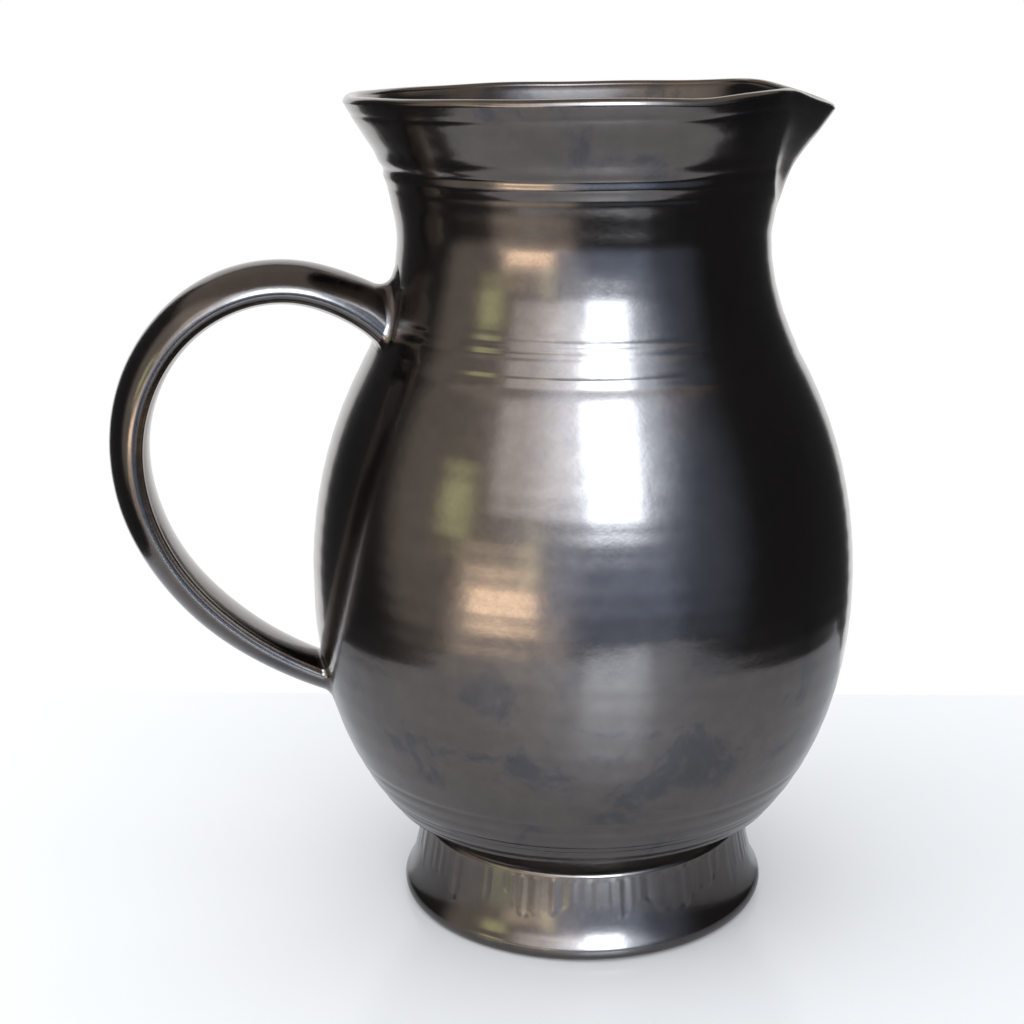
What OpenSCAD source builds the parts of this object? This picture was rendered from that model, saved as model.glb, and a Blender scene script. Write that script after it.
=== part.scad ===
// Stoneware jug: a foot, a thrown belly, a neck with a flared collar and a pinched spout,
// and a pulled strap handle that is luted on at both ends.
// Z is the axis of the jug and points up. The origin is the centre of the ring that it stands on.
// The handle points to -X, and the spout to +X, turned a little towards -Y.
// Lengths are in millimetres and angles in degrees.

/* [Foot] */
// Height of the foot, from the table to its seat under the belly
foot_h = 34; // [30:1:38]
// Widest diameter of the foot's skirt, close above the table
foot_d = 115; // [110:1:120]
// Diameter at the top edge of the skirt
skirt_top_d = 103; // [101:0.5:106]
// Height of the skirt's top edge above the table
skirt_h = 24.5; // [20:0.5:26]
// Diameter of the cove between the skirt and the belly
cove_d = 100; // [97:0.5:100]
// Diameter of the hollow under the foot, at the table
hollow_d = 92; // [80:1:94]
// How much narrower the hollow is at its top
hollow_draft = 6; // [2:1:12]
// Size of the rounded edge that meets the table
foot_edge = 3.2; // [1.5:0.1:4]

/* [Belly] */
// Height of the belly, from its seat on the foot to its seam with the neck
belly_h = 142.5; // [136:0.5:156]
// Widest diameter of the belly
belly_d = 166; // [160:1:180]
// Height of the widest place above the foot
belly_rise = 68; // [62:1:76]
// Diameter at which the underside turns up into the wall
base_d = 124; // [118:1:128]
// Diameter of the seam between belly and neck
seam_d = 126.6; // [122:0.2:130]
// Thickness of the thrown wall
wall = 5; // [3.5:0.5:6]
// Thickness of the floor
floor_t = 6; // [4:0.5:8]

/* [Neck] */
// Height of the neck and collar, from the seam to the level rim
neck_h = 73.5; // [70:0.5:80]
// Narrowest diameter of the neck
waist_d = 110; // [104:1:116]
// Height of the narrowest place above the seam
waist_rise = 32.5; // [28:0.5:36]
// Diameter at the ring bead, where the collar begins
collar_d = 116.6; // [114:0.2:120]
// Height of the collar's beginning above the seam
collar_rise = 50; // [47:0.5:52]
// Diameter of the rim
rim_d = 139; // [132:1:146]
// Thickness of the rounded lip
lip_t = 3.6; // [3:0.2:4.4]

/* [Turned rings] */
// Depth of a turned groove
groove_depth = 0.3; // [0.1:0.1:0.8]
// Half width of a turned groove
groove_w = 0.9; // [0.6:0.1:1.4]
// How far the ring bead on the neck stands out
bead_out = 0.6; // [0.2:0.1:1.5]
// Half width of the ring bead
bead_w = 1.4; // [1:0.1:2.5]

/* [Spout] */
// Distance of the spout's ridge from the axis, just below the rim
spout_reach = 73.5; // [72:0.5:80]
// Angle from the spout's ridge to each side of the let-in piece
spout_half = 38; // [34:1:44]
// Angle of the spout from straight across from the handle, anticlockwise seen from above
spout_turn = -10; // [-12:1:12]
// How far the tip lies below the rim
spout_drop = 3.7; // [2:0.1:6]
// How far the pinched cheeks rise above the rim
cheek_lift = 2.2; // [0.5:0.1:3]
// Height of the spout's root above the seam
spout_root = 40; // [37:0.5:44]
// Depth below the rim at which the spout has its full overhang
spout_full = 2; // [1:0.5:8]
// Angle over which the tip is rounded
tip_round = 4; // [2:0.5:8]

/* [Handle] */
// Distance of the handle's furthest centre line from the axis
handle_reach = 134.5; // [126:0.5:142]
// Distance of the handle's top from the axis
handle_top_r = 90; // [84:1:96]
// Height of the handle's top centre line above the seam
handle_top = 20; // [16:0.5:24]
// Depth of the furthest place below the seam
handle_far = 29.5; // [25:0.5:35]
// Depth of the lower arc's bottom below the seam
handle_low = 112; // [106:0.5:116]
// Half width of the arc that runs into the neck
root_arc_w = 50; // [46:1:56]
// Half height of the arc that runs into the neck
root_arc_h = 69; // [62:1:76]
// Half width of the arc that runs into the belly
low_arc_w = 111; // [106:1:118]
// Thickness of the strap at the neck
strap_t_top = 13; // [10:0.5:15]
// Thickness of the strap at the belly
strap_t_low = 9.5; // [7:0.5:12]
// Width of the strap at the neck
strap_w_top = 28; // [22:1:32]
// Width of the strap at the belly
strap_w_low = 20; // [16:1:24]
// Share by which the strap narrows from its middle to its domed outer face
strap_dome = 0.2; // [0:0.05:0.3]

/* [Lutes] */
// How far the clay fillet spreads on the neck
upper_lute = 6; // [3:0.5:7]
// How far the clay fillet spreads on the belly
lower_lute = 3; // [1.5:0.5:4]
// Joint gap between clay pieces with curved faces
lute_gap = 0.3; // [0.2:0.05:0.5]

/* [Hidden] */
$fn = 96;

glaze_grey = [0.23, 0.22, 0.22];
glaze_brown = [0.27, 0.25, 0.23];
glaze_dark = [0.20, 0.18, 0.17];

// Heights above the table
underside_rise = 1;
turn_z = foot_h + underside_rise;
floor_z = foot_h + floor_t;
belly_z = foot_h + belly_rise;
seam_z = foot_h + belly_h;
waist_z = seam_z + waist_rise;
collar_z = seam_z + collar_rise;
rim_z = seam_z + neck_h;
lip_r = lip_t / 2;
lip_z = rim_z - lip_r;

// A cubic curve from its first to its last control point, at t from 0 to 1
function bez(p, t) =
    pow(1 - t, 3) * p[0] + 3 * t * pow(1 - t, 2) * p[1] + 3 * t * t * (1 - t) * p[2] + pow(t, 3) * p[3];
function curve(p, n) = [for (i = [0 : n]) bez(p, i / n)];
function mix(a, b, t) = a + (b - a) * t;

// Outline of the wall in five curves, each point as [radius, height].
// They stand upright at the widest place and at the waist, and share a slope where they meet elsewhere.
// The shares below say how far each control point lies along its curve's height or width.
seam_slope = 0.43;
collar_slope = 0.25;
low_span = belly_z - turn_z;
up_span = seam_z - belly_z;
waist_span = collar_z - waist_z;
belly_low = let (bulge = 0.875, start = 0.335, end = 0.21) [
    [base_d / 2, turn_z],
    [mix(base_d / 2, belly_d / 2, bulge), turn_z + start * low_span],
    [belly_d / 2, belly_z - end * low_span],
    [belly_d / 2, belly_z]
];
belly_up = let (start = 0.58, end = 0.12) [
    [belly_d / 2, belly_z],
    [belly_d / 2, belly_z + start * up_span],
    [seam_d / 2 + seam_slope * end * up_span, seam_z - end * up_span],
    [seam_d / 2, seam_z]
];
neck_low = let (start = 0.11, end = 0.49) [
    [seam_d / 2, seam_z],
    [seam_d / 2 - seam_slope * start * waist_rise, seam_z + start * waist_rise],
    [waist_d / 2, waist_z - end * waist_rise],
    [waist_d / 2, waist_z]
];
neck_up = let (start = 0.17, end = 0.14) [
    [waist_d / 2, waist_z],
    [waist_d / 2, waist_z + start * waist_span],
    [collar_d / 2 - collar_slope * end * waist_span, collar_z - end * waist_span],
    [collar_d / 2, collar_z]
];
collar = let (start = 0.38, flare = 0.55, end = 0.52) [
    [collar_d / 2, collar_z],
    [collar_d / 2 + collar_slope * start * (lip_z - collar_z), mix(collar_z, lip_z, start)],
    [mix(collar_d / 2, rim_d / 2, flare), mix(collar_z, lip_z, end)],
    [rim_d / 2, lip_z]
];
curve_count = 32;
wall_curve = [
    for (p = [belly_low, belly_up, neck_low, neck_up, collar], q = curve(p, curve_count)) [q.y, q.x]
];
function plain_r(z) = lookup(z, wall_curve);

// Turned rings: grooves above the foot, about the seam and about the collar's beginning, and the bead
base_rings = [5.7, 7.6, 12.5, 17];
shoulder_rings = [-2, 0, 5.8, 8.9];
collar_rings = [-3.5, 1.8];
bead_drop = 0.8;
ring_z = concat(
    [for (z = base_rings) foot_h + z],
    [for (z = shoulder_rings) seam_z + z],
    [for (z = collar_rings) collar_z + z]
);
function bump(z, at, w) = exp(-pow((z - at) / w, 2));
function sum(v, i = 0) = i < len(v) ? v[i] + sum(v, i + 1) : 0;
function outline_r(z) =
    plain_r(z) + bead_out * bump(z, collar_z - bead_drop, bead_w)
    - groove_depth * sum([for (r = ring_z) bump(z, r, groove_w)]);

// The wall keeps its thickness square to the outline, and thins from the seam to the lip
steepest = 1.4;
half_mm = 0.5;
function slope(z) = min(plain_r(z + half_mm) - plain_r(z - half_mm), steepest);
function wall_t(z) = z < seam_z ? wall : mix(wall, lip_t, (z - seam_z) / (lip_z - seam_z));
function inner_r(z) = plain_r(z) - wall_t(z) * sqrt(1 + pow(slope(z), 2));

// Heights from a to b at about one step apart, fine where rings are turned and coarse elsewhere
function steps(a, b, step) = let (n = ceil((b - a) / step)) [for (i = [0 : n]) mix(a, b, i / n)];
function reverse(v) = [for (i = [len(v) - 1 : -1 : 0]) v[i]];
fine = 0.6;
coarse = 3;
collar_step = 1.5;
ring_margin = 2.2;
base_band = foot_h + max(base_rings) + ring_margin;
shoulder_band = [seam_z + min(shoulder_rings) - ring_margin, seam_z + max(shoulder_rings) + ring_margin];
collar_band = [collar_z + min(collar_rings) - ring_margin, collar_z + max(collar_rings) + ring_margin];
belly_heights = concat(
    steps(turn_z, base_band, fine),
    steps(base_band + coarse, shoulder_band[0], coarse),
    steps(shoulder_band[0] + fine, seam_z, fine)
);
neck_heights = concat(
    steps(seam_z, shoulder_band[1], fine),
    steps(shoulder_band[1] + coarse, collar_band[0], coarse),
    steps(collar_band[0] + fine, collar_band[1], fine),
    steps(collar_band[1] + collar_step, lip_z, collar_step)
);

// Foot: a flared ring round a hollow, with a rounded edge on the table and a cove under the belly
skirt = let (low = 0.3, high = 0.6, flare = 0.7) [
    [foot_d / 2, foot_edge],
    [foot_d / 2, mix(foot_edge, skirt_h, low)],
    [skirt_top_d / 2 + flare, mix(foot_edge, skirt_h, high)],
    [skirt_top_d / 2, skirt_h]
];
cove = let (edge = 0.45, deep = 0.3, under = 1.5) [
    [skirt_top_d / 2, skirt_h],
    [skirt_top_d / 2, mix(skirt_h, foot_h, edge)],
    [cove_d / 2 - under, mix(skirt_h, foot_h, deep)],
    [cove_d / 2, foot_h]
];
foot_edge_arc = [
    for (a = [0 : 15 : 75]) [foot_d / 2 - foot_edge + foot_edge * sin(a), foot_edge - foot_edge * cos(a)]
];
hollow_edge = 1.2;
skirt_count = 12;
cove_count = 8;

module foot() {
    color(glaze_grey)
        rotate_extrude()
            polygon(concat(
                [
                    [hollow_d / 2 - hollow_draft / 2, foot_h],
                    [hollow_d / 2, hollow_edge],
                    [hollow_d / 2 + hollow_edge, 0]
                ],
                foot_edge_arc,
                curve(skirt, skirt_count),
                [for (i = [1 : cove_count]) bez(cove, i / cove_count)]
            ));
}

module belly() {
    color(glaze_brown)
        rotate_extrude()
            polygon(concat(
                [[0, foot_h], [cove_d / 2, foot_h]],
                [for (z = belly_heights) [outline_r(z), z]],
                [for (z = reverse(steps(floor_z, seam_z, coarse))) [inner_r(z), z]],
                [[0, floor_z]]
            ));
}

// The lip is a half round between the outer and inner wall, given here about its own centre
lip_arc = [for (a = [15 : 15 : 165]) [lip_r * cos(a), lip_r * sin(a)]];
root_z = seam_z + spout_root;

module neck() {
    side = [cos(spout_half), sin(spout_half)] * rim_d;
    color(glaze_grey)
        difference() {
            rotate_extrude()
                polygon(concat(
                    [for (z = neck_heights) [outline_r(z), z]],
                    [for (p = lip_arc) [rim_d / 2 - lip_r, lip_z] + p],
                    [for (z = reverse(steps(seam_z, lip_z, coarse))) [inner_r(z), z]]
                ));
            translate([0, 0, root_z])
                rotate([0, 0, spout_turn])
                    linear_extrude(height = rim_z)
                        polygon([[0, 0], [side.x, -side.y], [2 * rim_d, 0], [side.x, side.y]]);
        }
}

// Faces of a closed tube of n rings with m points each, with a flat cap at each end
function tube_faces(n, m) = concat(
    [for (i = [0 : n - 2], j = [0 : m - 1]) let (k = (j + 1) % m)
        each [[i * m + j, i * m + k, (i + 1) * m + k], [i * m + j, (i + 1) * m + k, (i + 1) * m + j]]],
    [[for (j = [m - 1 : -1 : 0]) j], [for (j = [0 : m - 1]) (n - 1) * m + j]]
);

// Spout: in plan its sides run straight from the collar to the rounded tip.
// The overhang grows steadily from nothing at the root to its full reach below the rim.
// Along the rim, the cheeks rise on both sides of the tip, and the tip itself dips.
full_z = rim_z - spout_full;
collar_r = plain_r(full_z);
function eased(a) = sqrt(a * a + tip_round * tip_round) - tip_round;
function beak(a) =
    let (s = eased(spout_half), x = collar_r * cos(s), y = collar_r * sin(s), e = eased(abs(a)))
    spout_reach * y / (y * cos(e) + (spout_reach - x) * sin(e)) - collar_r;
function overhang(z) = min(1, max(0, (z - root_z) / (full_z - root_z)));
dip_share = 0.75;
cheek_lean = 1.5;
function crest(a) =
    let (x = abs(a) / spout_half)
    cheek_lift * sin(180 * pow(x, cheek_lean)) - spout_drop * pow(cos(90 * min(1, x / dip_share)), 2);
spout_count = 24;
spout_levels = concat([root_z], [for (z = neck_heights) if (z > root_z + fine / 2) z]);
function spout_wall(a, level, r) =
    [r + beak(a) * overhang(level), level + crest(a) * (level - root_z) / (lip_z - root_z)];
function spout_loop(a) =
    concat(
        [for (z = spout_levels) spout_wall(a, z, outline_r(z))],
        [for (p = lip_arc) spout_wall(a, lip_z, rim_d / 2 - lip_r) + p],
        [for (z = reverse(steps(root_z, lip_z, coarse))) spout_wall(a, z, inner_r(z))]
    );

module spout() {
    loops = [
        for (i = [0 : spout_count])
            let (a = mix(-spout_half, spout_half, i / spout_count))
            [for (p = spout_loop(a)) [p.x * cos(a), p.x * sin(a), p.y]]
    ];
    color(glaze_grey)
        rotate([0, 0, spout_turn])
            polyhedron([for (l = loops) each l], tube_faces(len(loops), len(loops[0])), convexity = 6);
}

// Handle: the centre line is three quarter ellipses in the plane y = 0, each point as [distance, height].
// It leaves the neck, passes the top and the furthest place, and runs down into the belly.
top_z = seam_z + handle_top;
far_z = seam_z - handle_far;
low_z = seam_z - handle_low;
root_point = function(a) [handle_top_r - root_arc_w * sin(a), top_z - root_arc_h * (1 - cos(a))];
top_point = function(a) [mix(handle_top_r, handle_reach, sin(a)), mix(far_z, top_z, cos(a))];
low_point = function(a) [handle_reach - low_arc_w * (1 - cos(a)), far_z - (far_z - low_z) * sin(a)];

// Angle at which an arc's centre line meets the wall, found by halving
halvings = 24;
function meet(arc, lo = 0, hi = 90, n = halvings) =
    let (m = (lo + hi) / 2, p = arc(m))
    n == 0 ? m : p.x > plain_r(p.y) ? meet(arc, m, hi, n - 1) : meet(arc, lo, m, n - 1);
root_meet = meet(root_point);
low_meet = meet(low_point);
// Each end of the path runs on inside the wall by this angle, and the seat cuts that length off
sink = 8;
root_count = 8;
top_count = 11;
low_count = 14;
path = concat(
    [for (i = [0 : root_count - 1]) root_point((root_meet + sink) * (1 - i / root_count))],
    [for (i = [0 : top_count - 1]) top_point(90 * i / top_count)],
    [for (i = [0 : low_count]) low_point((low_meet + sink) * i / low_count)]
);
last = len(path) - 1;
function tangent(i) = let (d = path[min(i + 1, last)] - path[max(i - 1, 0)]) d / norm(d);
run = [for (i = 0, d = 0; i <= last; d = d + norm(path[min(i + 1, last)] - path[i]), i = i + 1) d];

// The strap's section is a rounded oblong, domed outside and flatter inside.
// It tapers along the strap, more quickly towards the lower end.
oblong = 2.3;
taper = 1.6;
section_count = 20;
function soft(c) = sign(c) * pow(abs(c), 2 / oblong);
function strap_t(u) = mix(strap_t_top, strap_t_low, pow(u, taper));
function strap_w(u) = mix(strap_w_top, strap_w_low, pow(u, taper));
function strap_point(c, t, u, j, grow = 0) =
    let (q = 360 * j / section_count,
         out = soft(cos(q)),
         p = c + [-t.y, t.x] * out * (strap_t(u) / 2 + grow))
    [-p.x, soft(sin(q)) * (1 - strap_dome * out) * (strap_w(u) / 2 + grow), p.y];

// The wall that a handle end is seated on, with the joint gap, round a height
seat_reach = 30;
module seat(z) {
    rotate_extrude()
        polygon(concat(
            [[0, z - seat_reach]],
            [for (h = steps(z - seat_reach, z + seat_reach, coarse)) [plain_r(h) + lute_gap, h]],
            [[0, z + seat_reach]]
        ));
}

module handle() {
    points = [
        for (i = [0 : last], j = [0 : section_count - 1])
            strap_point(path[i], tangent(i), run[i] / run[last], j)
    ];
    color(glaze_brown)
        difference() {
            polyhedron(points, tube_faces(last + 1, section_count), convexity = 6);
            seat(root_point(root_meet).y);
            seat(low_point(low_meet).y);
        }
}

// Lute: a fillet of clay round a handle end, concave between the wall and the strap.
// Each corner of it slides along the strap's end direction until it meets the wall.
slide = 25;
hollow_share = 0.3;
function wall_hit(p, d, lo = -slide, hi = slide, n = halvings) =
    let (m = (lo + hi) / 2, q = p + d * m, out = norm([q.x, q.y]) - plain_r(q.z) - lute_gap)
    n == 0 ? q : out > 0 ? wall_hit(p, d, m, hi, n - 1) : wall_hit(p, d, lo, m, n - 1);
// It spreads further on the strap's outer side than on its inner side, and its edge follows the strap's bend.
outer_share = 0.3;
function lute_points(c, t, bend, u, inward, spread) =
    let (d = [-t.x, 0, t.y] * inward)
    [for (j = [0 : section_count - 1])
        let (reach = spread * (1 + outer_share * cos(360 * j / section_count)),
             corner = wall_hit(strap_point(c, t, u, j, lute_gap), d),
             wall_edge = wall_hit(strap_point(c, t, u, j, lute_gap + reach), d),
             strap_edge = corner - d * reach + [-bend.x, 0, bend.y] * pow(reach, 2) / 2,
             hollow = corner + hollow_share * (wall_edge + strap_edge - 2 * corner))
        each [wall_edge, hollow, strap_edge, corner]];
function ring_faces(n, m) = [
    for (i = [0 : n - 1], j = [0 : m - 1])
        let (a = (i + 1) % n, b = (j + 1) % m)
        each [[i * m + j, i * m + b, a * m + b], [i * m + j, a * m + b, a * m + j]]
];
small_angle = 0.5;
module lute(arc, a, u, inward, spread) {
    before = arc(a - small_angle);
    after = arc(a + small_angle);
    d = (after - before) * inward;
    bend = (before + after - 2 * arc(a)) / pow(norm(d) / 2, 2);
    points = lute_points(arc(a), d / norm(d), bend, u, inward, spread);
    color(glaze_dark)
        polyhedron(points, ring_faces(section_count, 4), convexity = 6);
}

module upper_handle_lute() {
    u = norm(root_point(root_meet) - path[0]) / run[last];
    lute(root_point, root_meet, u, -1, upper_lute);
}

module lower_handle_lute() {
    u = 1 - norm(low_point(low_meet) - path[last]) / run[last];
    lute(low_point, low_meet, u, 1, lower_lute);
}

foot();
belly();
neck();
spout();
handle();
upper_handle_lute();
lower_handle_lute();
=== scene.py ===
import math

import bpy
import numpy as np
from mathutils import Matrix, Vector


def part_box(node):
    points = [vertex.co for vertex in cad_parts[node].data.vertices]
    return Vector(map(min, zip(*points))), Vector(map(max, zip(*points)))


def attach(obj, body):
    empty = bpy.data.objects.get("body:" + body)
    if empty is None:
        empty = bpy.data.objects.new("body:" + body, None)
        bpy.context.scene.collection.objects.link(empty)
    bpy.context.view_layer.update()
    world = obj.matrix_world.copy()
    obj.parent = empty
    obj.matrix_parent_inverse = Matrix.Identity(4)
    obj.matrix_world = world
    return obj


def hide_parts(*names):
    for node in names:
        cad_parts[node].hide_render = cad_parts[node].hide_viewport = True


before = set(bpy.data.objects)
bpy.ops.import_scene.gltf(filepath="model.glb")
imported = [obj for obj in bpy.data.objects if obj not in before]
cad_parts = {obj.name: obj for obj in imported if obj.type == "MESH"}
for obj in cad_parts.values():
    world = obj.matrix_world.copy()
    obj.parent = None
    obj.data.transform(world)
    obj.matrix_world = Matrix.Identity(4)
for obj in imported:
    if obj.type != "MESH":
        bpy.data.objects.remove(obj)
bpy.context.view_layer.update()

# Foot
# A flared ring of clay, turned on the wheel and luted under the belly at a dark cove.
# Glaze ran down from its top edge in close streaks that end halfway. The face on the table is bare.
mm = 0.001
foot_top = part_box("foot")[1].z
foot_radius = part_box("foot")[1].x
skirt_top = 24.5 * mm
skirt_radius = 51.5 * mm
cove_radius = 48.6 * mm
cove_height = 28.6 * mm
seat_radius = 50 * mm
hollow_radius = 46 * mm
hollow_draft = 3 * mm
table_edge = 3.2 * mm
edge_sweep = math.radians(127)
bare_height = 1.2 * mm
bare_face = 0.4 * mm
streak_depth = 0.2 * mm
streak_end = 13.5 * mm
streak_spread = 5 * mm
out_of_round = 0.25 * mm
foot_wear = 0.2
glaze_brown = (0.135, 0.118, 0.108, 1)
glaze_blue = (0.086, 0.085, 0.092, 1)
glaze_bronze = (0.24, 0.19, 0.15, 1)
bare_clay = (0.46, 0.37, 0.28, 1)


def bezier(points, count):
    """Cubic curve: its four points weighted by (1-t)^3, 3t(1-t)^2, 3t^2(1-t) and t^3."""
    t = np.linspace(0, 1, count)[:, None]
    a, b, c, d = (np.array(p, float) for p in points)
    return (1 - t) ** 3 * a + 3 * t * (1 - t) ** 2 * b + 3 * t * t * (1 - t) * c + t**3 * d


def wander(angle, size, waves, seed):
    """Smooth unevenness round the jug: a few sine waves of the angle, of equal size and seeded phase."""
    phase = np.random.default_rng(seed).uniform(0, 2 * np.pi, len(waves))
    return size / len(waves) * sum(np.sin(n * angle + p) for n, p in zip(waves, phase))


def smooth_step(value):
    """Rise from 0 to 1 as the value goes from 0 to 1, level at both ends: 3v^2 - 2v^3."""
    value = np.clip(value, 0, 1)
    return value * value * (3 - 2 * value)


def spun(radius, height, angle):
    """Profile spun about Z: radius r and height z at angle a become (r cos a, r sin a, z)."""
    radius, height, angle = np.broadcast_arrays(radius, height, angle[:, None])
    return np.stack([radius * np.cos(angle), radius * np.sin(angle), height], -1)


def ring_quads(rows, columns, closed=True):
    """Corner numbers of the quads of a grid whose columns close on themselves, and whose rows do if asked."""
    i, j = np.meshgrid(np.arange(rows if closed else rows - 1), np.arange(columns), indexing="ij")
    below, beside = (i + 1) % rows, (j + 1) % columns
    corners = [i * columns + j, below * columns + j, below * columns + beside, i * columns + beside]
    return np.stack(corners, -1).reshape(-1, 4)


def add_piece(name, points, faces, node, materials, worn=None):
    """Smooth mesh object of the points and faces, which stands for a node of the frame."""
    mesh = bpy.data.meshes.new(name)
    mesh.from_pydata(np.reshape(points, (-1, 3)).tolist(), [], [list(f) for f in faces])
    if worn is not None:
        worn = np.ravel(worn).astype(np.float32)
        mesh.attributes.new("worn", "FLOAT", "POINT").data.foreach_set("value", worn)
    for material in materials:
        mesh.materials.append(material)
    mesh.polygons.foreach_set("use_smooth", np.ones(len(mesh.polygons), bool))
    piece = bpy.data.objects.new(name, mesh)
    bpy.context.scene.collection.objects.link(piece)
    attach(piece, "root")
    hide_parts(node)
    return piece


def add_node(tree, kind, settings=(), **inputs):
    """Shader node with its settings, and its named inputs set to a value or linked from another socket."""
    node = tree.nodes.new(kind)
    for key, value in dict(settings).items():
        setattr(node, key, value)
    for key, value in inputs.items():
        socket = node.inputs[int(key[1:])] if key[0] == "_" else node.inputs[key.replace("_", " ")]
        if isinstance(value, bpy.types.NodeSocket):
            tree.links.new(value, socket)
        else:
            socket.default_value = value
    return node


def add_group(name, inputs, outputs):
    """Empty shader node group with named sockets, with its input and output nodes."""
    group = bpy.data.node_groups.new(name, "ShaderNodeTree")
    for way, sockets in (("INPUT", inputs), ("OUTPUT", outputs)):
        for socket, kind in sockets.items():
            group.interface.new_socket(socket, in_out=way, socket_type="NodeSocket" + kind)
    return group, group.nodes.new("NodeGroupInput").outputs, group.nodes.new("NodeGroupOutput").inputs


def math_node(tree, operation, *values):
    """Result of a maths node on values or sockets."""
    inputs = {f"_{number}": value for number, value in enumerate(values)}
    return add_node(tree, "ShaderNodeMath", {"operation": operation}, **inputs).outputs[0]


def ramp_node(tree, value, start, end, low=0.0, high=1.0, smooth=True):
    """Result of a map range node, which goes from low to high as the value goes from start to end."""
    kind = {"interpolation_type": "SMOOTHSTEP" if smooth else "LINEAR"}
    inputs = {"Value": value, "From_Min": start, "From_Max": end, "To_Min": low, "To_Max": high}
    return add_node(tree, "ShaderNodeMapRange", kind, **inputs).outputs[0]


# Cloudy lustre: bluish patches with ragged edges on brown, strongest low on the belly and on the collar
# and none on the foot, with finer clouds over both, and a grain of small pits
lustre, given, result = add_group(
    "cloudy_lustre",
    {"Brown": "Color", "Blue": "Color", "Bronze": "Color", "Worn": "Float"},
    {"Color": "Color", "Roughness": "Float", "Height": "Float"},
)
place = add_node(lustre, "ShaderNodeTexCoord").outputs["Object"]
level = add_node(lustre, "ShaderNodeSeparateXYZ", Vector=place).outputs["Z"]
patches = add_node(
    lustre, "ShaderNodeTexNoise", Vector=place, Scale=45, Detail=8, Roughness=0.64, Distortion=0.4
).outputs[0]
ragged = ramp_node(lustre, patches, 0.52, 0.62, 0.0, 0.9)
low_down = ramp_node(lustre, level, 75 * mm, 115 * mm, 1.0, 0.25)
on_collar = ramp_node(lustre, level, 222 * mm, 232 * mm, 0.0, 0.75)
on_body = ramp_node(lustre, level, 26 * mm, 40 * mm)
patch_share = math_node(lustre, "MULTIPLY", on_body, math_node(lustre, "ADD", low_down, on_collar))
patch_mask = math_node(lustre, "MULTIPLY", ragged, patch_share)
clouds = add_node(lustre, "ShaderNodeTexNoise", Vector=place, Scale=180, Detail=5, Roughness=0.6).outputs[0]
shade = ramp_node(lustre, clouds, 0.3, 0.7, 0.9, 1.1, smooth=False)
two_tone = add_node(
    lustre, "ShaderNodeMix", {"data_type": "RGBA"}, _0=patch_mask, _6=given["Brown"], _7=given["Blue"]
).outputs[2]
clouded = add_node(
    lustre, "ShaderNodeMix", {"data_type": "RGBA", "blend_type": "MULTIPLY"}, _0=1.0, _6=two_tone, _7=shade
).outputs[2]
bronzed = add_node(
    lustre, "ShaderNodeMix", {"data_type": "RGBA"}, _0=given["Worn"], _6=clouded, _7=given["Bronze"]
).outputs[2]
grain = add_node(lustre, "ShaderNodeTexNoise", Vector=place, Scale=1500, Detail=3, Roughness=0.6).outputs[0]
peel = add_node(lustre, "ShaderNodeTexNoise", Vector=place, Scale=330, Detail=2, Roughness=0.5).outputs[0]
patch_rough = ramp_node(lustre, patch_mask, 0.0, 1.0, 0.175, 0.14, smooth=False)
grain_rough = ramp_node(lustre, grain, 0.3, 0.7, -0.02, 0.04, smooth=False)
rough = math_node(lustre, "ADD", patch_rough, grain_rough)
pitted = math_node(lustre, "MULTIPLY_ADD", grain, 0.35, peel)
for socket, value in (("Color", bronzed), ("Roughness", rough), ("Height", pitted)):
    lustre.links.new(value, result[socket])


def lustre_glaze(name, relief=0.03):
    """Metallic lustre glaze: the cloudy group's colour on a dark metal under a thin clear gloss."""
    material = bpy.data.materials.new(name)
    material.use_nodes = True
    tree = material.node_tree
    shader = tree.nodes["Principled BSDF"]
    worn = add_node(tree, "ShaderNodeAttribute", {"attribute_name": "worn"}).outputs["Fac"]
    cloudy = add_node(
        tree, "ShaderNodeGroup", {"node_tree": lustre}, Brown=glaze_brown, Blue=glaze_blue,
        Bronze=glaze_bronze, Worn=worn
    ).outputs
    bump = add_node(tree, "ShaderNodeBump", Strength=relief, Distance=mm, Height=cloudy["Height"])
    tree.links.new(cloudy["Color"], shader.inputs["Base Color"])
    tree.links.new(cloudy["Roughness"], shader.inputs["Roughness"])
    tree.links.new(bump.outputs[0], shader.inputs["Normal"])
    shader.inputs["Metallic"].default_value = 1
    shader.inputs["Coat Weight"].default_value = 0.35
    shader.inputs["Coat Roughness"].default_value = 0.04
    return material


def bare_stoneware(name):
    """Unglazed clay: buff, rough and speckled with iron."""
    material = bpy.data.materials.new(name)
    material.use_nodes = True
    tree = material.node_tree
    shader = tree.nodes["Principled BSDF"]
    place = add_node(tree, "ShaderNodeTexCoord").outputs["Object"]
    speck = add_node(tree, "ShaderNodeTexNoise", Vector=place, Scale=900, Detail=4, Roughness=0.7).outputs[0]
    tint = ramp_node(tree, speck, 0.3, 0.62, 0.45, 1.1, smooth=False)
    colour = add_node(
        tree, "ShaderNodeMix", {"data_type": "RGBA", "blend_type": "MULTIPLY"}, _0=1.0, _6=bare_clay, _7=tint
    ).outputs[2]
    bump = add_node(tree, "ShaderNodeBump", Strength=0.3, Distance=0.3 * mm, Height=speck)
    tree.links.new(colour, shader.inputs["Base Color"])
    tree.links.new(bump.outputs[0], shader.inputs["Normal"])
    shader.inputs["Roughness"].default_value = 0.85
    return material


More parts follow.
